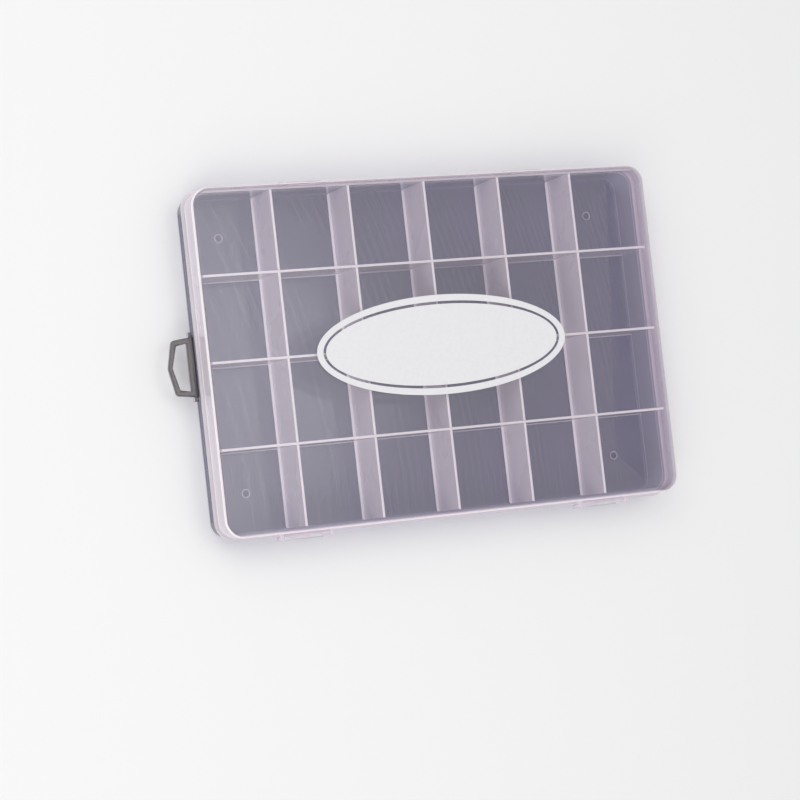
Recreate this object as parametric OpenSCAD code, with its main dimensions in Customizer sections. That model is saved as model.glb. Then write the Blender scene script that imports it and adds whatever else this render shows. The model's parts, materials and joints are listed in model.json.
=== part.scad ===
// Flat clear compartment box: a tray with a grid of cells, one hinged lid with
// two snap latches at the front, and a hang loop on the left end.
// +X runs along the length, +Y points to the hinged side, +Z up.
// The origin is the middle of the tray's underside. All sizes are millimetres.

/* [Cells] */
// Clear length of an inner cell, along X
cell_l = 31; // [24:0.5:40]
// Clear width of an inner cell, along Y
cell_w = 32; // [26:0.5:40]
// Clear height of a cell, from the floor to the top of the dividers
cell_h = 20; // [17:0.5:32]
// Thickness of the dividers
divider_t = 1; // [0.6:0.1:2]
// How much shorter the cells along the walls are than the inner ones
end_trim = 1; // [0:0.1:2]
// Play on each side of a half-lap slot
lap_gap = 0.05; // [0.02:0.01:0.15]

/* [Tray] */
// Thickness of the tray's floor
floor_t = 1.2; // [0.8:0.1:2.5]
// Thickness of the tray's wall
wall_t = 0.9; // [0.8:0.05:2]
// Outer corner radius of the tray's wall
tray_corner = 6; // [4:0.5:10]
// How far the flange stands out from the wall
flange_out = 2.25; // [1.85:0.05:3]
// Thickness of the flange
flange_t = 1.2; // [0.8:0.1:2]
// Height of the flange's top face above the underside
flange_z = 12.9; // [12.2:0.1:13.2]
// Radius of the rounded edge under the tray
foot_r = 1; // [0.5:0.1:1.1]
// Radius of the fillet between floor and wall
inner_fillet = 0.8; // [0.4:0.1:1.5]
// Radius of the round mould marks in the underside
mark_r = 1.7; // [1:0.1:3]
// Depth of the round mould marks
mark_depth = 0.25; // [0.1:0.05:0.5]

/* [Lid] */
// Play between the tray's rim and the lid's skirt
lid_gap = 0.35; // [0.35:0.05:0.6]
// Thickness of the lid's skirt
skirt_t = 0.9; // [0.7:0.05:1.8]
// Thickness of the lid's top panel
panel_t = 1.3; // [0.9:0.1:2.5]
// Space between the dividers and the lid
head_gap = 0.4; // [0.2:0.1:1]
// Space between the flange and the lower edge of the skirt
seat_gap = 0.3; // [0.2:0.05:0.6]
// Radius of the lid's rounded top edge
top_r = 1.2; // [0.5:0.1:2]

/* [Hinges] */
// Distance from the end of the flange to the middle of a hinge
hinge_inset = 49.65; // [20:0.05:70]
// Length of the lid's hinge barrel
barrel_l = 13; // [8:0.5:20]
// Radius of the lid's hinge barrel
barrel_r = 1.3; // [1.1:0.05:1.3]
// Thickness of the tray's hinge ears
ear_t = 1.8; // [1:0.1:3]
// Radius of the hinge pins
pin_r = 0.6; // [0.4:0.05:0.75]
// Radius of the hinge pins' heads
pin_head_r = 1; // [0.85:0.05:1.25]
// Thickness of the hinge pins' heads
pin_head_t = 0.7; // [0.4:0.1:1]
// Play between the moving side faces of hinges, latches and loop
side_gap = 0.25; // [0.15:0.05:0.5]

/* [Latches] */
// Distance from the end of the flange to the middle of a latch
latch_inset = 34.15; // [22:0.05:60]
// Width of a latch flap
flap_l = 18.4; // [12:0.2:24]
// Thickness of a latch flap
flap_t = 0.9; // [0.7:0.05:1.2]
// Radius of a latch flap's barrel
latch_barrel_r = 1; // [0.9:0.05:1.2]
// Radius of a latch flap's trunnions
trunnion_r = 0.55; // [0.4:0.05:0.65]
// Height of a latch's axis above the flange's top face
latch_rise = 5.1; // [4:0.1:6]
// Thickness of the lugs beside a latch flap
latch_lug_t = 1.4; // [1:0.1:2.5]
// Depth of a latch hook under the flange
hook_in = 1.5; // [1:0.1:1.7]
// Thickness of a latch hook
hook_t = 1.1; // [0.8:0.1:1.6]

/* [Hang loop] */
// Width of the loop at its root
loop_root = 23.2; // [18:0.2:28]
// Width of the loop at its outer corners
loop_outer = 21; // [16:0.2:23]
// Distance from the loop's axis to its outer corners
loop_reach = 7.9; // [6:0.1:9]
// Distance from the loop's axis to its outer apex
loop_apex = 10.1; // [8.2:0.1:11]
// Width of the loop's bars
loop_bar = 2.4; // [1.8:0.1:3]
// Thickness of the loop's frame
loop_t = 2; // [1.4:0.1:2]
// Height of the loop's axis above the underside
loop_z = 9.4; // [8.8:0.1:9.6]
// Radius of the loop's trunnions
loop_pin_r = 0.7; // [0.5:0.05:0.8]
// Thickness of the lugs beside the loop
loop_lug_t = 1.4; // [1:0.1:2.5]

/* [Label] */
// Length of the printed oval
label_l = 106; // [60:1:150]
// Width of the printed oval
label_w = 39; // [20:1:90]
// Width of the oval's printed border
label_rim = 2.6; // [1:0.1:5]
// Width of the clear line inside the border
label_line = 1.1; // [0.5:0.1:2]
// Thickness of the printed ink
ink_t = 0.12; // [0.05:0.01:0.2]

/* [Hidden] */
$fn = 48;

columns = 6;
rows = 4;
oval_steps = 96;          // sides of the printed oval
arc_steps = 5;            // sides of a rounded edge
soft_r = 0.3;             // small rounding of rims and edges
running_gap = 0.05;       // radial play of a pin in a hole
press_gap = 0.02;         // radial play of a pin in the ear that grips it
merge = 0.2;              // depth to which a moulded-on lug reaches into its wall
face_gap = 0.3;           // smallest space between faces that pass each other
barrel_space = 0.45;      // between the tray's wall and the lid's barrels
leaf_root = 0.5;          // depth to which a barrel's leaf reaches into the skirt
leaf_rise = 3;            // how far a barrel's leaf climbs up the skirt
ear_foot = 1.4;           // how far an ear's root reaches below its round end
latch_lug_rim = 0.15;     // how far a latch lug stands out past the latch's barrel
latch_lug_foot = 0.9;     // how far a latch lug's root spreads up and down
lip_out = 0.35;           // how far a latch's finger lip stands out
lip_rise = 1.2;           // height of the slope above the finger lip
table_gap = 0.08;         // space under the print when the lid lies fully open
loop_space = 0.65;        // between the flange's edge and the loop's axis
loop_root_rim = 0.1;      // how far the loop's root bar stands out past its frame
loop_lug_rim = 0.4;       // how far a loop lug stands out past the root bar
loop_lug_foot = 1;        // how far a loop lug's root reaches below its round end
cut = 1;                  // how far a cut runs past the face that it opens

// Grid and tray
column_pitch = cell_l + divider_t;
row_pitch = cell_w + divider_t;
inner_l = columns * column_pitch - divider_t - 2 * end_trim;
inner_w = rows * row_pitch - divider_t - 2 * end_trim;
tray_l = inner_l + 2 * wall_t;
tray_w = inner_w + 2 * wall_t;
rim_z = floor_t + cell_h;
lap_z = floor_t + cell_h / 2;
flange_under = flange_z - flange_t;
flange_l = tray_l + 2 * flange_out;
flange_w = tray_w + 2 * flange_out;

// Lid
lid_l = tray_l + 2 * (lid_gap + skirt_t);
lid_w = tray_w + 2 * (lid_gap + skirt_t);
lid_corner = tray_corner + lid_gap + skirt_t;
panel_z = rim_z + head_gap;
top_z = panel_z + panel_t;
skirt_z = flange_z + seat_gap;

// Hinges: the axis lies at half the height, so that the opened lid lies level
hinge_z = (top_z + ink_t + table_gap) / 2;
hinge_x = flange_l / 2 - hinge_inset;
hinge_y = tray_w / 2 + barrel_space + barrel_r;
ear_r = flange_z - hinge_z;
ear_x = barrel_l / 2 + side_gap + ear_t / 2;
ear_end = ear_x + ear_t / 2;
leaf_in = lid_w / 2 - leaf_root;
leaf_out = hinge_y + barrel_r - soft_r;

// Latches
latch_x = flange_l / 2 - latch_inset;
latch_z = flange_z + latch_rise;
flap_out = flange_w / 2 + face_gap + flap_t;
latch_y = -(flap_out - latch_barrel_r);
latch_lug_x = flap_l / 2 + side_gap + latch_lug_t / 2;
latch_lug_r = latch_barrel_r + latch_lug_rim;
hook_top = flange_under - face_gap;

// Hang loop
loop_root_r = loop_t / 2 + loop_root_rim;
loop_x = -(flange_l / 2 + loop_space);
loop_lug_r = loop_root_r + loop_lug_rim;
loop_lug_y = loop_root / 2 + side_gap + loop_lug_t / 2;

// Points of an arc from angle a0 to a1
function arc(c, r, a0, a1) =
    [for (i = [0 : arc_steps]) let (a = a0 + (a1 - a0) * i / arc_steps) c + r * [cos(a), sin(a)]];

// Points of an oval
function oval(l, w) =
    [for (i = [0 : oval_steps - 1]) let (a = 360 * i / oval_steps) [l / 2 * cos(a), w / 2 * sin(a)]];

// Outline of the fillet between floor and wall, seen from inside the tray;
// the dividers' lower corners follow the same points
function floor_fillet(wall_x) =
    arc([wall_x - inner_fillet, floor_t + inner_fillet], inner_fillet, 0, -90);

// Carries a section round a rounded rectangle; the section's X is the
// distance outwards from the middle of the corner
module sweep_round(l, w, corner, section) {
    for (turn = [0, 180]) {
        rotate([0, 0, turn])
            translate([0, w / 2 - corner, 0])
                rotate([90, 0, 90])
                    linear_extrude(l - 2 * corner, center = true) polygon(section);
        rotate([0, 0, turn])
            translate([l / 2 - corner, 0, 0])
                rotate([90, 0, 0])
                    linear_extrude(w - 2 * corner, center = true) polygon(section);
    }
    for (sx = [-1, 1], sy = [-1, 1])
        translate([sx * (l / 2 - corner), sy * (w / 2 - corner), 0])
            rotate([0, 0, sx > 0 ? (sy > 0 ? 0 : 270) : (sy > 0 ? 90 : 180)])
                rotate_extrude(angle = 90) polygon(section);
}

// Flat slab between the corner middles of a rounded rectangle
module middle_slab(l, w, corner, z, t) {
    translate([-(l / 2 - corner), -(w / 2 - corner), z])
        cube([l - 2 * corner, w - 2 * corner, t]);
}

// Section along X, drawn in Y and Z
module along_x(length) {
    rotate([90, 0, 90])
        linear_extrude(length, center = true) children();
}

// Section along Y, drawn in X and Z
module along_y(length) {
    rotate([90, 0, 0])
        linear_extrude(length, center = true) children();
}

module rod_x(r, length) {
    rotate([0, 90, 0]) cylinder(r = r, h = length, center = true);
}

module rod_y(r, length) {
    rotate([90, 0, 0]) cylinder(r = r, h = length, center = true);
}

module tray_body() {
    section = concat(
        [[0, 0]],
        arc([tray_corner - foot_r, foot_r], foot_r, -90, 0),
        [[tray_corner, flange_under]],
        arc([tray_corner + flange_out - soft_r, flange_under + soft_r], soft_r, -90, 0),
        arc([tray_corner + flange_out - soft_r, flange_z - soft_r], soft_r, 0, 90),
        [[tray_corner, flange_z]],
        arc([tray_corner - soft_r, rim_z - soft_r], soft_r, 0, 90),
        arc([tray_corner - wall_t + soft_r, rim_z - soft_r], soft_r, 90, 180),
        floor_fillet(tray_corner - wall_t),
        [[0, floor_t]]
    );
    sweep_round(tray_l, tray_w, tray_corner, section);
    middle_slab(tray_l, tray_w, tray_corner, 0, floor_t);
}

// Ears that carry the lid's barrel, moulded on the back of the tray
module hinge_ears() {
    for (side = [-1, 1], end = [-1, 1])
        translate([side * hinge_x + end * ear_x, 0, 0])
            along_x(ear_t) {
                polygon([
                    [tray_w / 2 - merge, hinge_z - ear_r - ear_foot],
                    [hinge_y, hinge_z - ear_r],
                    [hinge_y, hinge_z + ear_r],
                    [tray_w / 2 - merge, hinge_z + ear_r]
                ]);
                translate([hinge_y, hinge_z]) circle(ear_r);
            }
}

// Lugs that carry the hang loop, moulded on the left end of the tray
module loop_lugs() {
    for (side = [-1, 1])
        translate([0, side * loop_lug_y, 0])
            along_y(loop_lug_t) {
                polygon([
                    [-tray_l / 2 + merge, loop_z - loop_lug_r - loop_lug_foot],
                    [loop_x, loop_z - loop_lug_r],
                    [loop_x, loop_z + loop_lug_r],
                    [-flange_l / 2 + soft_r, flange_under + merge],
                    [-tray_l / 2 + merge, flange_under + merge]
                ]);
                translate([loop_x, loop_z]) circle(loop_lug_r);
            }
}

module tray_shell() {
    color([0.86, 0.85, 0.9, 0.55])
        difference() {
            union() {
                difference() {
                    tray_body();
                    // gaps in the flange for the lid's barrels, the ears and the pins' heads
                    for (side = [-1, 1])
                        translate([side * hinge_x, tray_w / 2 + flange_out, flange_z])
                            cube([2 * (ear_end + pin_head_t + side_gap), 2 * flange_out, 3 * flange_t],
                                center = true);
                }
                hinge_ears();
                loop_lugs();
            }
            for (side = [-1, 1])
                translate([side * hinge_x, hinge_y, hinge_z])
                    rod_x(pin_r + press_gap, 2 * ear_end + cut);
            translate([loop_x, 0, loop_z])
                rod_y(loop_pin_r + running_gap, 2 * loop_lug_y + loop_lug_t + cut);
            // round mould marks, under the middles of the corner cells
            for (sx = [-1, 1], sy = [-1, 1])
                translate([sx * (columns - 1) / 2 * column_pitch, sy * (rows - 1) / 2 * row_pitch, -cut])
                    cylinder(r = mark_r, h = cut + mark_depth);
        }
}

// Upright plate between two walls, with its lower corners fitted to the
// fillets; slots are cut at the given places, from z0 up to z1
module divider_outline(length, slots, z0, z1) {
    half = length / 2;
    right = floor_fillet(half);
    left = [for (i = [arc_steps : -1 : 0]) [-right[i][0], right[i][1]]];
    difference() {
        polygon(concat([[-half, rim_z], [half, rim_z]], right, left));
        for (s = slots)
            translate([s - divider_t / 2 - lap_gap, z0])
                square([divider_t + 2 * lap_gap, z1 - z0]);
    }
}

// Dividers across the tray, slotted from above
module cross_divider(i) {
    slots = [for (j = [1 : rows - 1]) (j - rows / 2) * row_pitch];
    color([0.9, 0.88, 0.93, 0.7])
        translate([(i - columns / 2) * column_pitch, 0, 0])
            along_x(divider_t) divider_outline(inner_w, slots, lap_z, rim_z + cut);
}

// Dividers along the tray, slotted from below
module long_divider(j) {
    slots = [for (i = [1 : columns - 1]) (i - columns / 2) * column_pitch];
    color([0.92, 0.88, 0.9, 0.7])
        translate([0, (j - rows / 2) * row_pitch, 0])
            along_y(divider_t) divider_outline(inner_l, slots, floor_t - cut, lap_z);
}

// Pin of one rear hinge, with its head on the right
module hinge_pin(side) {
    pin_l = 2 * ear_end;
    color([0.95, 0.95, 0.97])
        translate([side * hinge_x, hinge_y, hinge_z]) {
            rod_x(pin_r, pin_l);
            translate([pin_l / 2 + pin_head_t / 2, 0, 0]) rod_x(pin_head_r, pin_head_t);
        }
}

module lid_body() {
    inside = lid_corner - skirt_t;
    section = concat(
        [[0, panel_z]],
        arc([inside - 2 * soft_r, panel_z - 2 * soft_r], 2 * soft_r, 90, 0),
        arc([inside + soft_r, skirt_z + soft_r], soft_r, 180, 270),
        arc([lid_corner - soft_r, skirt_z + soft_r], soft_r, -90, 0),
        arc([lid_corner - top_r, top_z - top_r], top_r, 0, 90),
        [[0, top_z]]
    );
    sweep_round(lid_l, lid_w, lid_corner, section);
    middle_slab(lid_l, lid_w, lid_corner, panel_z, panel_t);
}

// Barrels on the lid's back edge
module lid_barrels() {
    for (side = [-1, 1])
        translate([side * hinge_x, 0, 0])
            along_x(barrel_l) {
                polygon([
                    [leaf_in, hinge_z],
                    [leaf_out, hinge_z],
                    [leaf_out, skirt_z + soft_r],
                    [lid_w / 2 - merge, skirt_z + leaf_rise],
                    [leaf_in, skirt_z + leaf_rise]
                ]);
                translate([hinge_y, hinge_z]) circle(barrel_r);
            }
}

// Lugs beside the latches, moulded on the lid's front
module latch_lugs() {
    for (side = [-1, 1], end = [-1, 1])
        translate([side * latch_x + end * latch_lug_x, 0, 0])
            along_x(latch_lug_t) {
                polygon([
                    [-lid_w / 2 + merge, latch_z - latch_lug_r - latch_lug_foot],
                    [latch_y, latch_z - latch_lug_r],
                    [latch_y, latch_z + latch_lug_r],
                    [-lid_w / 2 + merge, latch_z + latch_lug_r + latch_lug_foot]
                ]);
                translate([latch_y, latch_z]) circle(latch_lug_r);
            }
}

module lid_cover() {
    color([0.88, 0.87, 0.92, 0.4])
        difference() {
            union() {
                lid_body();
                lid_barrels();
                latch_lugs();
            }
            for (side = [-1, 1]) {
                translate([side * hinge_x, hinge_y, hinge_z])
                    rod_x(pin_r + running_gap, barrel_l + cut);
                translate([side * latch_x, latch_y, latch_z])
                    rod_x(trunnion_r + running_gap, 2 * latch_lug_x + latch_lug_t + cut);
            }
        }
}

module label_border() {
    color([0.97, 0.97, 0.98])
        translate([0, 0, top_z])
            linear_extrude(ink_t)
                difference() {
                    polygon(oval(label_l, label_w));
                    polygon(oval(label_l - 2 * label_rim, label_w - 2 * label_rim));
                }
}

module label_panel() {
    inset = 2 * (label_rim + label_line);
    color([0.97, 0.97, 0.98])
        translate([0, 0, top_z])
            linear_extrude(ink_t) polygon(oval(label_l - inset, label_w - inset));
}

// Snap latch: barrel, flap and a hook that grips under the flange
module latch(side) {
    hook_tip = -(flange_w / 2 - hook_in);
    color([0.9, 0.88, 0.93, 0.6])
        translate([side * latch_x, 0, 0]) {
            along_x(flap_l) {
                translate([latch_y, latch_z]) circle(latch_barrel_r);
                polygon([
                    [-flap_out, latch_z],
                    [-flap_out, hook_top + lip_rise],
                    [-flap_out - lip_out, hook_top],
                    [-flap_out - lip_out, hook_top - hook_t + soft_r],
                    [-flap_out - lip_out + soft_r, hook_top - hook_t],
                    [hook_tip - 2 * soft_r, hook_top - hook_t],
                    [hook_tip, hook_top - hook_t + 2 * soft_r],
                    [hook_tip, hook_top],
                    [-flap_out + flap_t, hook_top],
                    [-flap_out + flap_t, latch_z]
                ]);
            }
            translate([0, latch_y, latch_z])
                rod_x(trunnion_r, flap_l + 2 * (side_gap + latch_lug_t));
        }
}

// One straight bar of the loop's frame, drawn flat, with round ends
module flat_bar(p, q) {
    run = q - p;
    translate(p) circle(loop_bar / 2);
    translate(q) circle(loop_bar / 2);
    translate(p)
        rotate(atan2(run[1], run[0]))
            translate([0, -loop_bar / 2]) square([norm(run), loop_bar]);
}

module hang_loop() {
    half_bar = loop_bar / 2;
    root = [loop_x, loop_root / 2 - half_bar - loop_root_rim];
    corner = [loop_x - loop_reach + half_bar, loop_outer / 2 - half_bar];
    apex = [loop_x - loop_apex + half_bar, 0];
    color([0.88, 0.86, 0.9, 0.7]) {
        difference() {
            translate([0, 0, loop_z - loop_t / 2])
                linear_extrude(loop_t)
                    for (s = [-1, 1]) {
                        flat_bar([root[0], s * root[1]], [corner[0], s * corner[1]]);
                        flat_bar([corner[0], s * corner[1]], apex);
                    }
            // the frame's bars end in the round root bar
            translate([loop_x + loop_bar, 0, loop_z])
                cube([2 * loop_bar, loop_root + cut, loop_t + cut], center = true);
        }
        translate([loop_x, 0, loop_z]) {
            rod_y(loop_root_r, loop_root);
            rod_y(loop_pin_r, loop_root + 2 * (side_gap + loop_lug_t));
        }
    }
}

tray_shell();
cross_divider(1);  // cross_divider_1
cross_divider(2);  // cross_divider_2
cross_divider(3);  // cross_divider_3
cross_divider(4);  // cross_divider_4
cross_divider(5);  // cross_divider_5
long_divider(1);  // long_divider_1
long_divider(2);  // long_divider_2
long_divider(3);  // long_divider_3
hinge_pin(-1);  // hinge_pin_left
hinge_pin(1);  // hinge_pin_right
lid_cover();
label_border();
label_panel();
latch(-1);  // latch_left
latch(1);  // latch_right
hang_loop();
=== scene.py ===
import json
import math

import bmesh
import bpy
from mathutils import Matrix, Vector


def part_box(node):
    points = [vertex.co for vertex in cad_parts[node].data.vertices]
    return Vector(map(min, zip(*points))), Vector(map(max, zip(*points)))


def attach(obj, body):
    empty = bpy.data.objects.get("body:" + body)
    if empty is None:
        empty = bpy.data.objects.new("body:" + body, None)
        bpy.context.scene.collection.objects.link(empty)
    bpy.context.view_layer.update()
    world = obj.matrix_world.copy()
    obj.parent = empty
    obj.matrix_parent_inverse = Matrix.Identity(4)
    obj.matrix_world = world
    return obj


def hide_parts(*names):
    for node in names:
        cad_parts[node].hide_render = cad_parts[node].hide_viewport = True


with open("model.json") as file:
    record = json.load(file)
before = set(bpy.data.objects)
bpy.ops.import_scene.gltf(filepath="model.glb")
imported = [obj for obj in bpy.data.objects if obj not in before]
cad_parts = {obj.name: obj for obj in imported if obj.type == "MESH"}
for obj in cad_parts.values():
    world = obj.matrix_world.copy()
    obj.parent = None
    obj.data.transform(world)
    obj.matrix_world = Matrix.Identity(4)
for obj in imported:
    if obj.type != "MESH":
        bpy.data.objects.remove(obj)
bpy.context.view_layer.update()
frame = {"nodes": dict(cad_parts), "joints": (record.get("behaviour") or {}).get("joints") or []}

# Tray
# The lower half of the box, moulded in clear polypropylene with a smoky lilac tint: a thin
# floor, an upright wall with round corners, and a flange all round that seats the lid.
mm = 0.001
axis = {j["name"]: Vector(j["pos_m"]) for j in frame["joints"]}
long_low, long_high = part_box("long_divider_1")
cross_low, cross_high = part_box("cross_divider_1")
floor_z = long_low.z
rim_z = long_high.z
inner_l = long_high.x - long_low.x
inner_w = cross_high.y - cross_low.y
wall = 0.9 * mm
tray_l = inner_l + 2 * wall
tray_w = inner_w + 2 * wall
tray_corner = 6 * mm
flange_low = 11.7 * mm
flange_top = 12.9 * mm
flange_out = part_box("tray_shell")[1].x - tray_l / 2
clear_z = flange_top + 1.1 * mm  # the wall is clear from here up
foot_round = 1 * mm
floor_fillet = 0.8 * mm
soft_round = 0.3 * mm
corner_steps = 12  # flats in a quarter turn of the box's corners
near = 0.01 * mm  # places closer than this count as the same


def only(piece):
    """Selects this piece alone."""
    bpy.ops.object.select_all(action="DESELECT")
    piece.select_set(True)
    bpy.context.view_layer.objects.active = piece


def settle(name):
    """Names the piece just added and puts its place into its mesh."""
    piece = bpy.context.object
    piece.name = name
    only(piece)
    bpy.ops.object.transform_apply(location=True, rotation=True, scale=True)
    return piece


def block(name, low, high):
    """Adds a block between two corners."""
    low, high = Vector(low), Vector(high)
    bpy.ops.object.select_all(action="DESELECT")
    bpy.ops.mesh.primitive_cube_add(size=1, location=(low + high) / 2, scale=high - low)
    return settle(name)


def edit(piece):
    """Opens the piece in edit mode with nothing selected."""
    only(piece)
    bpy.ops.object.mode_set(mode="EDIT")
    bpy.ops.mesh.select_all(action="DESELECT")


def close():
    """Leaves edit mode."""
    bpy.ops.object.mode_set(mode="OBJECT")


def pick(kind, test):
    """Selects the faces or edges that pass a test, and nothing else."""
    bpy.ops.mesh.select_mode(type=kind)
    bpy.ops.mesh.select_all(action="DESELECT")
    mesh = bmesh.from_edit_mesh(bpy.context.object.data)
    for item in mesh.faces if kind == "FACE" else mesh.edges:
        if test(item):
            item.select_set(True)
    mesh.select_flush_mode()
    bmesh.update_edit_mesh(bpy.context.object.data)


def level(edge, z):
    """True if an edge lies at this height."""
    return all(abs(v.co.z - z) < near for v in edge.verts)


def upright(edge):
    """True if an edge runs straight up."""
    a, b = (v.co for v in edge.verts)
    return (a.xy - b.xy).length < near


def cut_level(z):
    """Cuts a ring of edges round the piece at this height."""
    bpy.ops.mesh.select_all(action="SELECT")
    bpy.ops.mesh.bisect(plane_co=(0, 0, z), plane_no=(0, 0, 1))


def round_off(width, steps):
    """Bevels the selected edges."""
    bpy.ops.mesh.bevel(offset=width, segments=steps, affect="EDGES", clamp_overlap=False)


def beyond(point, length, width, corner):
    """How far a point lies outside a rounded rectangle about the middle of the box."""
    x = max(abs(point.x) - (length / 2 - corner), 0)
    y = max(abs(point.y) - (width / 2 - corner), 0)
    return math.hypot(x, y) - corner


def beyond_tray(point):
    """How far a point lies outside the tray's upright wall."""
    return beyond(point, tray_l, tray_w, tray_corner)


tray = block("tray", (-tray_l / 2, -tray_w / 2, 0), (tray_l / 2, tray_w / 2, rim_z))
edit(tray)
pick("EDGE", upright)
round_off(tray_corner, corner_steps)
cut_level(flange_low)
cut_level(flange_top)
pick("FACE", lambda f: flange_low < f.calc_center_median().z < flange_top)
bpy.ops.mesh.extrude_region_shrink_fatten(
    TRANSFORM_OT_shrink_fatten={"value": flange_out, "use_even_offset": True}
)
pick("FACE", lambda f: f.normal.z > 0.9 and f.calc_center_median().z > rim_z - near)
bpy.ops.mesh.inset(thickness=wall, use_even_offset=True)
bpy.ops.mesh.extrude_region_move(TRANSFORM_OT_translate={"value": (0, 0, floor_z - rim_z)})
pick("EDGE", lambda e: level(e, floor_z))
round_off(floor_fillet, 4)
pick("EDGE", lambda e: level(e, 0))
round_off(foot_round, 4)
pick("EDGE", lambda e: level(e, rim_z))
round_off(soft_round, 3)
pick(
    "EDGE",
    lambda e: (level(e, flange_low) or level(e, flange_top))
    and all(beyond_tray(v.co) > flange_out - near for v in e.verts),
)
round_off(soft_round, 3)
cut_level(clear_z)
close()

# Hinge ears, loop lugs and mould marks
# Moulded on the tray: a pair of ears in a gap of the flange for each rear hinge, and a pair of
# lugs on the left end for the hang loop. The mould's four pins leave a shallow dent in the
# underside and a fine ring on the floor.
pin_head_t = 0.7 * mm
hinge_x = [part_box(n)[1].x - pin_head_t for n in ("hinge_pin_left", "hinge_pin_right")]
hinge_x = [(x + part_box(n)[0].x) / 2 for x, n in zip(hinge_x, ("hinge_pin_left", "hinge_pin_right"))]
hinge_y, hinge_z = axis["lid_hinge"].yz
pin_r = 0.6 * mm
ear_t = 1.8 * mm
ear_r = flange_top - hinge_z
ear_foot = 1.4 * mm
barrel_l = 13 * mm
side_gap = 0.25 * mm
ear_x = barrel_l / 2 + side_gap + ear_t / 2
gap_half = ear_x + ear_t / 2 + pin_head_t + side_gap
loop_axis = axis["loop_pivot"]
loop_root = 23.2 * mm
loop_pin_r = 0.7 * mm
loop_lug_r = 1.5 * mm
loop_lug_t = 1.4 * mm
loop_lug_foot = 1 * mm
loop_lug_y = loop_root / 2 + side_gap + loop_lug_t / 2
mark_r = 1.7 * mm
mark_depth = 0.25 * mm
mark_round = 0.1 * mm
ring_h = 0.12 * mm
ring_t = 0.3 * mm
mark_x = 80 * mm
mark_y = 49.5 * mm
lug_round = 0.15 * mm
sharp = 40  # degrees between two faces past which their edge is rounded
smooth = 35  # degrees between two faces up to which they are shaded as one
bite = 0.2 * mm  # how far a lug reaches into the wall that it is moulded on
past = 1 * mm  # how far a cut runs past the face that it opens
broad = 500 * mm * mm  # a flat face larger than this is shaded flat up to its edge


def rod(name, middle, radius, length, along, sides=32):
    """Adds a round rod along X, Y or Z."""
    turn = {"X": (0, math.pi / 2, 0), "Y": (math.pi / 2, 0, 0), "Z": (0, 0, 0)}[along]
    bpy.ops.object.select_all(action="DESELECT")
    bpy.ops.mesh.primitive_cylinder_add(
        vertices=sides, radius=radius, depth=length, location=middle, rotation=turn
    )
    return settle(name)


def soften(piece, width, steps=2):
    """Rounds every sharp edge of a piece."""
    only(piece)
    edge = piece.modifiers.new("edge", "BEVEL")
    edge.width = width
    edge.segments = steps
    edge.limit_method = "ANGLE"
    edge.angle_limit = math.radians(sharp)
    bpy.ops.object.modifier_apply(modifier=edge.name)


def weld(piece, other, operation="UNION"):
    """Welds another solid to the piece, or cuts it away."""
    only(piece)
    join = piece.modifiers.new("weld", "BOOLEAN")
    join.operation = operation
    join.object = other
    join.solver = "EXACT"
    bpy.ops.object.modifier_apply(modifier=join.name)
    bpy.data.objects.remove(other)


def merge_flat():
    """Joins the strips of each flat face into one."""
    bpy.ops.mesh.select_all(action="SELECT")
    bpy.ops.mesh.dissolve_limited(angle_limit=math.radians(1))


def lug(tip, radius, width, along, stations):
    """Adds a lug: a round end on a pin's line, drawn back in steps to the wall that carries it.
    A station is a place across the pin's line, with the lug's lowest and highest point there."""
    made = rod("lug", tip, radius, width, along)
    way = 1 if along == "X" else 0
    side = math.copysign(1, stations[0][0] - tip[way])
    edit(made)
    pick("FACE", lambda f: f.normal[way] * side > 0.05)
    last, middle, height = tip[way], tip[2], 2 * radius
    for place, low, high in stations:
        step = Vector((0, 0, (low + high) / 2 - middle))
        step[way] = place - last
        flat = [1, 1, (high - low) / height]
        flat[way] = 0
        centre = [tip[0], tip[1], (low + high) / 2]
        centre[way] = place
        bpy.ops.mesh.extrude_region_move(TRANSFORM_OT_translate={"value": step})
        bpy.ops.transform.resize(value=flat, center_override=centre)
        last, middle, height = place, (low + high) / 2, high - low
    merge_flat()
    close()
    soften(made, lug_round)
    return made


wave_l = 22 * mm  # length of the faint waves in a moulded face
wave_h = 0.4 * mm
wave_strength = 0.2
plastic_ior = 1.49
head_on_shine = 0.04  # share of light that the skin mirrors when seen head on


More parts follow.
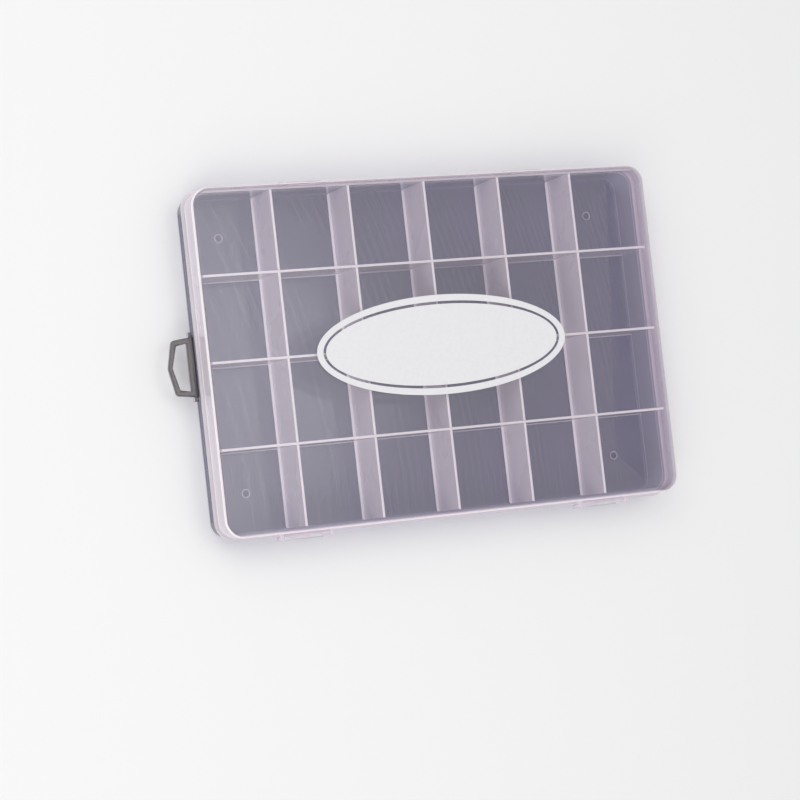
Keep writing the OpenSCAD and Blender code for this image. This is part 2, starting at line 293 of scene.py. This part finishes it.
def clear_plastic(name, tint, milk, rim_milk, colour, rough, grain):
    """Clear plastic: a tinted see-through body, a milky haze that thickens where the wall is
    seen edge on, and a glossy skin with the faint waves of a moulded face. The haze scatters
    lamp light on instead of stopping it, so shadows take the tint alone."""
    made = bpy.data.materials.new(name)
    made.use_nodes = True
    tree = made.node_tree
    tree.nodes.clear()

    def maths(operation, *terms, clamp=False):
        node = tree.nodes.new("ShaderNodeMath")
        node.operation = operation
        node.use_clamp = clamp
        for socket, term in zip(node.inputs, terms):
            if isinstance(term, (int, float)):
                socket.default_value = term
            else:
                tree.links.new(term, socket)
        return node.outputs[0]

    def noise(size, detail):
        node = tree.nodes.new("ShaderNodeTexNoise")
        node.inputs["Scale"].default_value = 1 / size
        node.inputs["Detail"].default_value = detail
        tree.links.new(place, node.inputs["Vector"])
        return node.outputs["Fac"]

    def mixed(factor, under, over):
        node = tree.nodes.new("ShaderNodeMixShader")
        tree.links.new(factor, node.inputs[0])
        tree.links.new(under.outputs[0], node.inputs[1])
        tree.links.new(over.outputs[0], node.inputs[2])
        return node

    place = tree.nodes.new("ShaderNodeTexCoord").outputs["Object"]
    cloud = noise(grain, 3)
    wave = noise(wave_l, 1)
    bump = tree.nodes.new("ShaderNodeBump")
    bump.inputs["Strength"].default_value = wave_strength
    bump.inputs["Distance"].default_value = wave_h
    tree.links.new(wave, bump.inputs["Height"])
    slant = tree.nodes.new("ShaderNodeLayerWeight")
    slant.inputs["Blend"].default_value = 0.5
    facing = slant.outputs["Facing"]

    see = tree.nodes.new("ShaderNodeBsdfTransparent")
    see.inputs["Color"].default_value = (*tint, 1)
    body = tree.nodes.new("ShaderNodeBsdfPrincipled")
    body.inputs["Base Color"].default_value = (*colour, 1)
    body.inputs["IOR"].default_value = plastic_ior
    tree.links.new(maths("MULTIPLY_ADD", cloud, 0.12, rough), body.inputs["Roughness"])
    tree.links.new(bump.outputs[0], body.inputs["Normal"])
    haze = maths("MULTIPLY_ADD", cloud, 0.2 * milk, 0.9 * milk)
    haze = maths("MULTIPLY_ADD", maths("POWER", facing, 1.5), rim_milk, haze, clamp=True)
    hazy = mixed(haze, see, body)

    mirror = tree.nodes.new("ShaderNodeBsdfAnisotropic")
    mirror.inputs["Roughness"].default_value = rough
    tree.links.new(bump.outputs[0], mirror.inputs["Normal"])
    grazing = maths("POWER", facing, 5)
    shine = maths("MULTIPLY_ADD", grazing, 1 - head_on_shine, head_on_shine)
    skin = mixed(shine, hazy, mirror)
    shadow = tree.nodes.new("ShaderNodeLightPath").outputs["Is Shadow Ray"]
    out = tree.nodes.new("ShaderNodeOutputMaterial")
    tree.links.new(mixed(shadow, skin, see).outputs[0], out.inputs["Surface"])
    return made


def dress(piece, *finishes):
    """Gives a piece its plastic, then each further finish, with a test of the faces it is on."""
    piece.data.materials.clear()
    piece.data.materials.append(finishes[0])
    for number, (finish, covers) in enumerate(finishes[1:], 1):
        piece.data.materials.append(finish)
        for face in piece.data.polygons:
            if covers(face):
                face.material_index = number
    only(piece)
    bpy.ops.object.shade_smooth_by_angle(angle=math.radians(smooth))
    for face in piece.data.polygons:
        if face.area > broad:
            face.use_smooth = False


for x in hinge_x:
    gap_low = (x - gap_half, tray_w / 2 + 2 * near, flange_low - past)
    gap_high = (x + gap_half, tray_w / 2 + flange_out + past, flange_top + past)
    weld(tray, block("gap", gap_low, gap_high), "DIFFERENCE")
    for end in (-1, 1):
        root = (tray_w / 2 - bite, hinge_z - ear_r - ear_foot, hinge_z + ear_r - bite / 2)
        weld(tray, lug((x + end * ear_x, hinge_y, hinge_z), ear_r, ear_t, "X", [root]))
    bore = rod("bore", (x, hinge_y, hinge_z), pin_r + 2 * near, 2 * gap_half - past, "X")
    weld(tray, bore, "DIFFERENCE")
for end in (-1, 1):
    knee_x = loop_axis.x + loop_lug_r + bite
    knee = (knee_x, loop_axis.z - loop_lug_r - loop_lug_foot / 2, flange_low + bite)
    root = (-tray_l / 2 + bite, loop_axis.z - loop_lug_r - loop_lug_foot, flange_low + bite)
    tip = (loop_axis.x, end * loop_lug_y, loop_axis.z)
    weld(tray, lug(tip, loop_lug_r, loop_lug_t, "Y", [knee, root]))
bore = rod("bore", loop_axis, loop_pin_r + 5 * near, 2 * (loop_lug_y + loop_lug_t), "Y")
weld(tray, bore, "DIFFERENCE")
for sx in (-1, 1):
    for sy in (-1, 1):
        mark = rod("mark", (sx * mark_x, sy * mark_y, 0), mark_r, 2 * mark_depth, "Z")
        soften(mark, mark_round)
        weld(tray, mark, "DIFFERENCE")
        witness = rod("witness", (sx * mark_x, sy * mark_y, floor_z), mark_r, 2 * ring_h, "Z")
        edit(witness)
        pick("FACE", lambda f: f.normal.z > 0.9)
        bpy.ops.mesh.inset(thickness=ring_t)
        bpy.ops.mesh.extrude_region_move(TRANSFORM_OT_translate={"value": (0, 0, -1.5 * ring_h)})
        close()
        weld(tray, witness)


def on_ring(face):
    """True on a mould mark's ring."""
    way = (abs(face.center.x) - mark_x, abs(face.center.y) - mark_y)
    return math.hypot(*way) < mark_r + near and near < face.center.z - floor_z < 2 * ring_h


def in_fillet(face):
    """True on the slope where the floor turns up into the wall."""
    return floor_z < face.center.z < floor_z + floor_fillet and 0.3 < face.normal.z < 0.8


def on_flange(face):
    """True on the flange."""
    return beyond_tray(face.center) > near and face.center.z > flange_low - near


tray_plastic = clear_plastic(
    "tray_plastic", (0.57, 0.556, 0.65), 0.02, 0.12, (0.74, 0.72, 0.80), 0.12, 9 * mm
)
# Clear plastic for the upper wall and the loop lugs. On the floor fillet and under the back flange
# its lighter look is painted light: a bright line at the fillet and a lighter back.
clear_and_painted_light = clear_plastic(
    "clear_and_painted_light", (0.95, 0.93, 0.96), 0.03, 0.05, (0.88, 0.82, 0.88), 0.15, 9 * mm
)
# Frosted plastic for the dividers. On the tray's flange, the back wall's top edge and the mould rings
# it is a painted highlight: a paler band where light catches.
frosted_and_painted_highlight = clear_plastic(
    "frosted_and_painted_highlight", (0.90, 0.89, 0.93), 0.56, 0.3, (0.93, 0.87, 0.91), 0.22, 20 * mm
)
# A near-white milky finish for thin bands of faces: a painted highlight that stands in for light
# caught on rounded edges and carried through the plastic.
painted_highlight_edge = clear_plastic(
    "painted_highlight_edge", (0.98, 0.96, 0.97), 0.95, 0.05, (0.95, 0.88, 0.92), 0.25, 12 * mm
)
dress(
    tray,
    tray_plastic,
    (clear_and_painted_light, lambda f: f.center.z > clear_z),
    (clear_and_painted_light, lambda f: f.center.x < -tray_l / 2 - near and f.center.z < flange_low - near),
    # The floor fillet in clear plastic: a painted highlight, a lighter line where floor meets wall.
    (clear_and_painted_light, in_fillet),
    # The back flange, left clear underneath: painted light, the back side lighter.
    (clear_and_painted_light, lambda f: on_flange(f) and f.center.y > tray_w / 2),
    # The flange's top and outer edge in the frosted finish: a painted highlight.
    (frosted_and_painted_highlight, lambda f: on_flange(f) and f.normal.z > -0.5),
    # The back wall's top edge alone in the frosted finish: a painted highlight on the back side.
    (frosted_and_painted_highlight, lambda f: f.center.y > inner_w / 2 and f.center.z > rim_z - soft_round),
    # The mould rings are moulded; their pale frosted finish is a painted highlight.
    (frosted_and_painted_highlight, on_ring),
)
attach(tray, "tray")
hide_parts("tray_shell")

# Dividers
# Eight upright plates of the same plastic, a little frosted, half-lapped where they cross, with
# a flared foot on the floor. Their top edges, their ends and the cross plates' feet carry a
# near-white milky finish: painted highlights that show as bright lines.
divider_t = cross_high.x - cross_low.x
lap_z = (floor_z + rim_z) / 2
slot_play = 0.05 * mm
top_round = 0.25 * mm
flare_h = 0.9 * mm
cross_flare = 2.4 * mm
long_flare = 1.6 * mm
cross_names = [f"cross_divider_{i}" for i in range(1, 6)]
long_names = [f"long_divider_{i}" for i in range(1, 4)]
cross_x = [sum(c.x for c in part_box(n)) / 2 for n in cross_names]
long_y = [sum(c.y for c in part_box(n)) / 2 for n in long_names]


def flared(name, low, high, way, flare_z, foot):
    """Adds an upright plate, thin along way, that widens to its foot below a height."""
    made = block(name, low, high)
    spread = [1, 1, 1]
    spread[way] = foot / (high[way] - low[way])
    middle = (Vector(low) + Vector(high)) / 2
    edit(made)
    cut_level(flare_z)
    pick("FACE", lambda f: f.normal.z < -0.9)
    bpy.ops.transform.resize(value=spread, center_override=(middle.x, middle.y, low[2]))
    close()
    return made


def spans(edge, way):
    """True if an edge runs across the thickness of a plate that is thin along way."""
    a, b = (v.co for v in edge.verts)
    return abs(a[1 - way] - b[1 - way]) < near


for name in cross_names + long_names:
    low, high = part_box(name)
    low.z += near
    way = 0 if name in cross_names else 1
    foot = cross_flare if way == 0 else long_flare
    made = flared("moulded_" + name, low, high, way, floor_z + flare_h, foot)
    edit(made)
    pick("EDGE", lambda e: level(e, low.z) and spans(e, way))
    round_off(floor_fillet, 4)
    pick("EDGE", lambda e: level(e, high.z) and not spans(e, way))
    round_off(top_round, 2)
    close()
    half = divider_t / 2 + slot_play
    for place in long_y if way == 0 else cross_x:
        if way == 0:
            slot_low = (low.x - past, place - half, lap_z)
            slot = block("slot", slot_low, (high.x + past, place + half, rim_z + past))
        else:
            slot_low = (place - half, low.y - past, floor_z - flare_h)
            slot_high = (place + half, high.y + past, lap_z)
            wide = 2 * half + 2 * (cross_flare - divider_t)
            slot = flared("slot", slot_low, slot_high, 0, floor_z + flare_h, wide)
        weld(made, slot, "DIFFERENCE")
    dress(
        made,
        frosted_and_painted_highlight,
        # Top edges, cross plates' feet and plate ends: painted highlights in the near-white finish.
        (painted_highlight_edge, lambda f: f.center.z > rim_z - top_round - near),
        (painted_highlight_edge, lambda f: way == 0 and f.center.z < floor_z + flare_h),
        (painted_highlight_edge, lambda f: abs(f.center[1 - way]) > high[1 - way] - near),
    )
    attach(made, "tray")
    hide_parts(name)

# Hinge pins
# Two white plastic pins pushed through the ears from the right, each with a domed head.
head_r = 1 * mm
head_round = 0.35 * mm


def solid_finish(name, grain, dark, light, rough_low, rough_high, ior):
    """An opaque finish whose colour and gloss vary a little in small specks."""
    made = bpy.data.materials.new(name)
    made.use_nodes = True
    tree = made.node_tree
    skin = tree.nodes["Principled BSDF"]
    skin.inputs["IOR"].default_value = ior
    speckle = tree.nodes.new("ShaderNodeTexNoise")
    speckle.inputs["Scale"].default_value = 1 / grain
    speckle.inputs["Detail"].default_value = 5
    place = tree.nodes.new("ShaderNodeTexCoord")
    tree.links.new(place.outputs["Object"], speckle.inputs["Vector"])
    shades = tree.nodes.new("ShaderNodeValToRGB")
    shades.color_ramp.elements[0].color = (*dark, 1)
    shades.color_ramp.elements[0].position = 0.25
    shades.color_ramp.elements[1].color = (*light, 1)
    shades.color_ramp.elements[1].position = 0.6
    tree.links.new(speckle.outputs["Fac"], shades.inputs[0])
    tree.links.new(shades.outputs[0], skin.inputs["Base Color"])
    gloss = tree.nodes.new("ShaderNodeMapRange")
    gloss.inputs["To Min"].default_value = rough_low
    gloss.inputs["To Max"].default_value = rough_high
    tree.links.new(speckle.outputs["Fac"], gloss.inputs["Value"])
    tree.links.new(gloss.outputs[0], skin.inputs["Roughness"])
    return made


pin_plastic = solid_finish(
    "pin_plastic", 0.8 * mm, (0.84, 0.83, 0.83), (0.92, 0.92, 0.92), 0.15, 0.35, plastic_ior
)
for name, x in zip(("hinge_pin_left", "hinge_pin_right"), hinge_x):
    low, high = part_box(name)
    shank_l = high.x - pin_head_t - low.x
    pin = rod("white_" + name, (x, hinge_y, hinge_z), pin_r, shank_l, "X")
    head = rod("head", (high.x - pin_head_t / 2, hinge_y, hinge_z), head_r, pin_head_t, "X")
    edit(head)
    pick("EDGE", lambda e: all(v.co.x > high.x - near for v in e.verts))
    round_off(head_round, 4)
    close()
    weld(pin, head)
    dress(pin, pin_plastic)
    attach(pin, "tray")
    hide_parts(name)

# Lid
# One clear panel over all the cells with a deep skirt that laps the tray's rim down to the
# flange. Its back edge carries two barrels for the pins, its front edge the latches' lugs.
lid_gap = 0.35 * mm
skirt = 0.9 * mm
lid_l = tray_l + 2 * (lid_gap + skirt)
lid_w = tray_w + 2 * (lid_gap + skirt)
lid_corner = tray_corner + lid_gap + skirt
top_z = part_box("label_panel")[0].z
head_gap = 0.4 * mm
seat_gap = 0.3 * mm
panel_z = rim_z + head_gap
skirt_z = flange_top + seat_gap
skirt_line = 1.4 * mm
lid_round = 1.2 * mm
barrel_r = 1.3 * mm
leaf_root = 0.5 * mm
leaf_in = lid_w / 2 - leaf_root
leaf_out = hinge_y + barrel_r - soft_round
leaf_z = skirt_z + soft_round
leaf_rise = 3 * mm
flap_l = 18.4 * mm
latch_lug_r = 1.15 * mm
latch_lug_t = 1.4 * mm
latch_lug_foot = 0.9 * mm
latch_lug_x = flap_l / 2 + side_gap + latch_lug_t / 2
trunnion_r = 0.55 * mm
latches = {
    "latch_left": ("latch_flap_left", axis["latch_left_hinge"]),
    "latch_right": ("latch_flap_right", axis["latch_right_hinge"]),
}

lid = block("lid", (-lid_l / 2, -lid_w / 2, skirt_z), (lid_l / 2, lid_w / 2, top_z))
edit(lid)
pick("EDGE", upright)
round_off(lid_corner, corner_steps)
pick("FACE", lambda f: f.normal.z < -0.9)
bpy.ops.mesh.inset(thickness=skirt, use_even_offset=True)
bpy.ops.mesh.extrude_region_move(TRANSFORM_OT_translate={"value": (0, 0, panel_z - skirt_z)})
pick("EDGE", lambda e: level(e, panel_z))
round_off(2 * soft_round, 3)
pick("EDGE", lambda e: level(e, top_z))
round_off(lid_round, 6)
pick("EDGE", lambda e: level(e, skirt_z))
round_off(soft_round, 3)
cut_level(skirt_z + skirt_line)
close()
for x in hinge_x:
    barrel = rod("barrel", (x, hinge_y, hinge_z), barrel_r, barrel_l, "X")
    edit(barrel)
    pick("FACE", lambda f: f.normal.z > 0.05)
    bpy.ops.mesh.extrude_region_move(TRANSFORM_OT_translate={"value": (0, 0, leaf_z - hinge_z)})
    flat = (1, (leaf_out - leaf_in) / (2 * barrel_r), 0)
    bpy.ops.transform.resize(value=flat, center_override=(x, hinge_y, leaf_z))
    step = (0, (leaf_in + leaf_out) / 2 - hinge_y, 0)
    bpy.ops.transform.translate(value=step)
    bpy.ops.mesh.extrude_region_move(TRANSFORM_OT_translate={"value": (0, 0, leaf_rise)})
    thin = (1, soft_round / (leaf_out - leaf_in), 1)
    bpy.ops.transform.resize(value=thin, center_override=(x, leaf_in, leaf_z + leaf_rise))
    merge_flat()
    close()
    soften(barrel, lug_round)
    weld(lid, barrel)
    bore = rod("bore", (x, hinge_y, hinge_z), pin_r + 5 * near, barrel_l + past, "X")
    weld(lid, bore, "DIFFERENCE")
for body, at in latches.values():
    spread = latch_lug_r + latch_lug_foot
    root = (-lid_w / 2 + bite, at.z - spread, at.z + spread)
    for end in (-1, 1):
        tip = (at.x + end * latch_lug_x, at.y, at.z)
        weld(lid, lug(tip, latch_lug_r, latch_lug_t, "X", [root]))
    bore = rod("bore", at, trunnion_r + 5 * near, 2 * (latch_lug_x + latch_lug_t), "X")
    weld(lid, bore, "DIFFERENCE")

lid_plastic = clear_plastic(
    "lid_plastic", (0.97, 0.965, 0.975), 0.018, 0.25, (0.90, 0.86, 0.91), 0.2, 14 * mm
)
# The skirt's milky finish is a painted highlight: it stands in for light carried through the skirt
# and seen edge on.
skirt_painted_highlight = clear_plastic(
    "skirt_painted_highlight", (0.92, 0.90, 0.93), 0.5, 0.3, (0.93, 0.85, 0.93), 0.2, 20 * mm
)


def beyond_lid(point):
    """How far a point lies outside the lid's outer face."""
    return beyond(point, lid_l, lid_w, lid_corner)


dress(
    lid,
    lid_plastic,
    # The skirt's outside in its milky finish: a painted highlight.
    (skirt_painted_highlight, lambda f: beyond_lid(f.center) > -soft_round / 2 and f.center.z < top_z - near),
    # The rounded top edge: a painted highlight in the near-white finish.
    (
        painted_highlight_edge,
        lambda f: f.center.z > top_z - lid_round
        and beyond_lid(f.center) > -lid_round
        and 0.05 < f.normal.z < 0.8,
    ),
    # A band at the skirt's foot: a painted highlight in the near-white finish.
    (painted_highlight_edge, lambda f: beyond_lid(f.center) > -skirt and f.center.z < skirt_z + skirt_line),
)
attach(lid, "lid")
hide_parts("lid_cover")

# Printed oval
# A white oval with a thin clear line inside its border, screen-printed on the lid and bare.
white_ink = solid_finish(
    "white_ink", 1.5 * mm, (0.83, 0.82, 0.85), (0.86, 0.85, 0.875), 0.42, 0.6, 1.45
)
for name in ("label_border", "label_panel"):
    for place in frame["nodes"][name].material_slots:
        place.material = white_ink

# Latches
# Two flaps on the front edge, each a thin plate on a barrel, with a finger lip and a hook that
# snaps under the tray's flange. Their trunnions turn in the lid's lugs.
flap_t = 0.9 * mm
lip_out = 0.35 * mm
lip_rise = 1.2 * mm
hook_gap = 0.3 * mm
hook_top = flange_low - hook_gap
latch_barrel_r = 1 * mm
flap_round = 0.2 * mm
trunnion_round = 0.1 * mm
latch_plastic = clear_plastic(
    "latch_plastic", (0.95, 0.94, 0.96), 0.25, 0.3, (0.93, 0.87, 0.92), 0.15, 20 * mm
)
for name, (body, at) in latches.items():
    flap_y = at.y - latch_barrel_r
    hook_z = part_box(name)[0].z
    hook_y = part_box(name)[1].y
    low = (at.x - flap_l / 2, flap_y, hook_z)
    flap = block("clear_" + name, low, (at.x + flap_l / 2, flap_y + flap_t, at.z))
    edit(flap)
    cut_level(hook_top)
    cut_level(hook_top + lip_rise)
    pick("FACE", lambda f: f.normal.y > 0.9 and f.calc_center_median().z < hook_top)
    step = (0, hook_y - flap_y - flap_t, 0)
    bpy.ops.mesh.extrude_region_move(TRANSFORM_OT_translate={"value": step})
    pick("FACE", lambda f: f.normal.y < -0.9 and f.calc_center_median().z < hook_top)
    bpy.ops.transform.translate(value=(0, -lip_out, 0))
    close()
    weld(flap, rod("barrel", at, latch_barrel_r, flap_l, "X"))
    soften(flap, flap_round, 3)
    pin = rod("pin", at, trunnion_r, flap_l + 2 * (side_gap + latch_lug_t), "X")
    soften(pin, trunnion_round)
    weld(flap, pin)
    dress(flap, latch_plastic)
    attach(flap, body)
    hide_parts(name)

# Hang loop
# A flat five-sided ring of a darker smoky plastic on the left end, with bevelled edges and a
# trunnion at each end of its round root bar, which swings in the lugs under the flange.
loop_t = 2 * mm
root_bar_r = 1.1 * mm
root_bar_round = 0.2 * mm
reach = 7.9 * mm
corner_x = loop_axis.x - reach
corner_y = 10.5 * mm
apex_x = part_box("hang_loop")[0].x
leg = 2.1 * mm
rail = 1.6 * mm
root_side = loop_axis.x - 1.9 * mm  # the hole's edge beside the root bar
root_y = loop_root / 2 - 0.1 * mm
hole_y = loop_root / 2 - leg - 0.3 * mm
outer_round = 0.9 * mm
hole_round = 0.45 * mm
frame_round = 0.4 * mm


def pentagon(name, side_x, side_y, knee_x, knee_y, tip_x):
    """Adds a flat five-sided outline that points away from the box."""
    bpy.ops.object.select_all(action="DESELECT")
    bpy.ops.mesh.primitive_circle_add(vertices=5, radius=side_y, location=loop_axis)
    made = settle(name)
    outline = [(side_x, side_y), (knee_x, knee_y), (tip_x, 0), (knee_x, -knee_y), (side_x, -side_y)]
    for vertex, (x, y) in zip(made.data.vertices, outline):
        vertex.co = (x, y, loop_axis.z - loop_t / 2)
    return made


def on_outline(edge):
    """True if an upright edge is on the loop's outer side, not in its hole."""
    at = edge.verts[0].co
    return abs(at.y) > corner_y - leg / 2 or at.x < apex_x + rail / 2


loop = pentagon("smoky_hang_loop", loop_axis.x, root_y, corner_x, corner_y, apex_x)
hole = pentagon("hole", root_side, hole_y, corner_x + rail, corner_y - leg, apex_x + rail)
only(loop)
hole.select_set(True)
bpy.ops.object.join()
edit(loop)
bpy.ops.mesh.select_all(action="SELECT")
bpy.ops.mesh.bridge_edge_loops()
pick("FACE", lambda f: True)
bpy.ops.mesh.extrude_region_move(TRANSFORM_OT_translate={"value": (0, 0, loop_t)})
pick("EDGE", lambda e: upright(e) and on_outline(e) and e.verts[0].co.x < root_side)
round_off(outer_round, 4)
pick("EDGE", lambda e: upright(e) and not on_outline(e))
round_off(hole_round, 3)
bpy.ops.mesh.select_all(action="SELECT")
bpy.ops.mesh.normals_make_consistent(inside=False)
close()
soften(loop, frame_round, 3)
root = rod("root", loop_axis, root_bar_r, loop_root, "Y")
soften(root, root_bar_round)
weld(loop, root)
pin = rod("pin", loop_axis, loop_pin_r, loop_root + 2 * (side_gap + loop_lug_t), "Y")
soften(pin, trunnion_round)
weld(loop, pin)
loop_plastic = clear_plastic(
    "loop_plastic", (0.42, 0.39, 0.41), 0.6, 0.2, (0.11, 0.095, 0.105), 0.16, 8 * mm
)
dress(loop, loop_plastic)
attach(loop, "loop")
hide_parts("hang_loop")

# Studio
# A pale table, soft light from above and behind the left side, and a camera that looks down
# from the front left, so far away that the box shows hardly any perspective.
scene = bpy.context.scene
scene.view_settings.view_transform = "Standard"
scene.cycles.transparent_max_bounces = 64
scene.cycles.max_bounces = 24

camera = bpy.data.objects.new("camera", bpy.data.cameras.new("camera"))
scene.collection.objects.link(camera)
camera.data.lens = 111.77
camera.data.sensor_width = 36
camera_place = Vector((-0.39604, -0.06713, 0.90383))
looking = Vector((0.3913, 0.0490, -0.9190))
camera_up = Vector((0.0829, 0.9926, 0.0883))
camera_side = looking.cross(camera_up).normalized()
camera_up = camera_side.cross(looking)
turned = Matrix((camera_side, camera_up, -looking)).transposed().to_4x4()
camera.matrix_world = Matrix.Translation(camera_place) @ turned
scene.camera = camera

bpy.ops.object.select_all(action="DESELECT")
bpy.ops.mesh.primitive_plane_add(size=8)
table = settle("table")
table_finish = bpy.data.materials.new("table_finish")
table_finish.use_nodes = True
skin = table_finish.node_tree.nodes["Principled BSDF"]
skin.inputs["Base Color"].default_value = (0.96, 0.96, 0.96, 1)
skin.inputs["Roughness"].default_value = 0.9
skin.inputs["Specular IOR Level"].default_value = 0.1
table.data.materials.append(table_finish)

world = bpy.data.worlds.new("studio")
scene.world = world
world.use_nodes = True
sky = world.node_tree.nodes["Background"]
sky.inputs["Color"].default_value = (1, 1, 1, 1)
sky.inputs["Strength"].default_value = 0.5


def softbox(name, place, size, power):
    """Adds a square soft light that faces the box."""
    lamp = bpy.data.lights.new(name, "AREA")
    lamp.size = size
    lamp.energy = power
    made = bpy.data.objects.new(name, lamp)
    scene.collection.objects.link(made)
    place = Vector(place)
    aim = (-place).to_track_quat("-Z", "Y").to_matrix().to_4x4()
    made.matrix_world = Matrix.Translation(place) @ aim


softbox("back_left", (-0.6, 0.6, 1.0), 0.9, 4)
softbox("front_left", (-0.8, -0.8, 0.9), 0.9, 6)
softbox("overhead", (0.1, 0.08, 1.1), 0.5, 1.6)
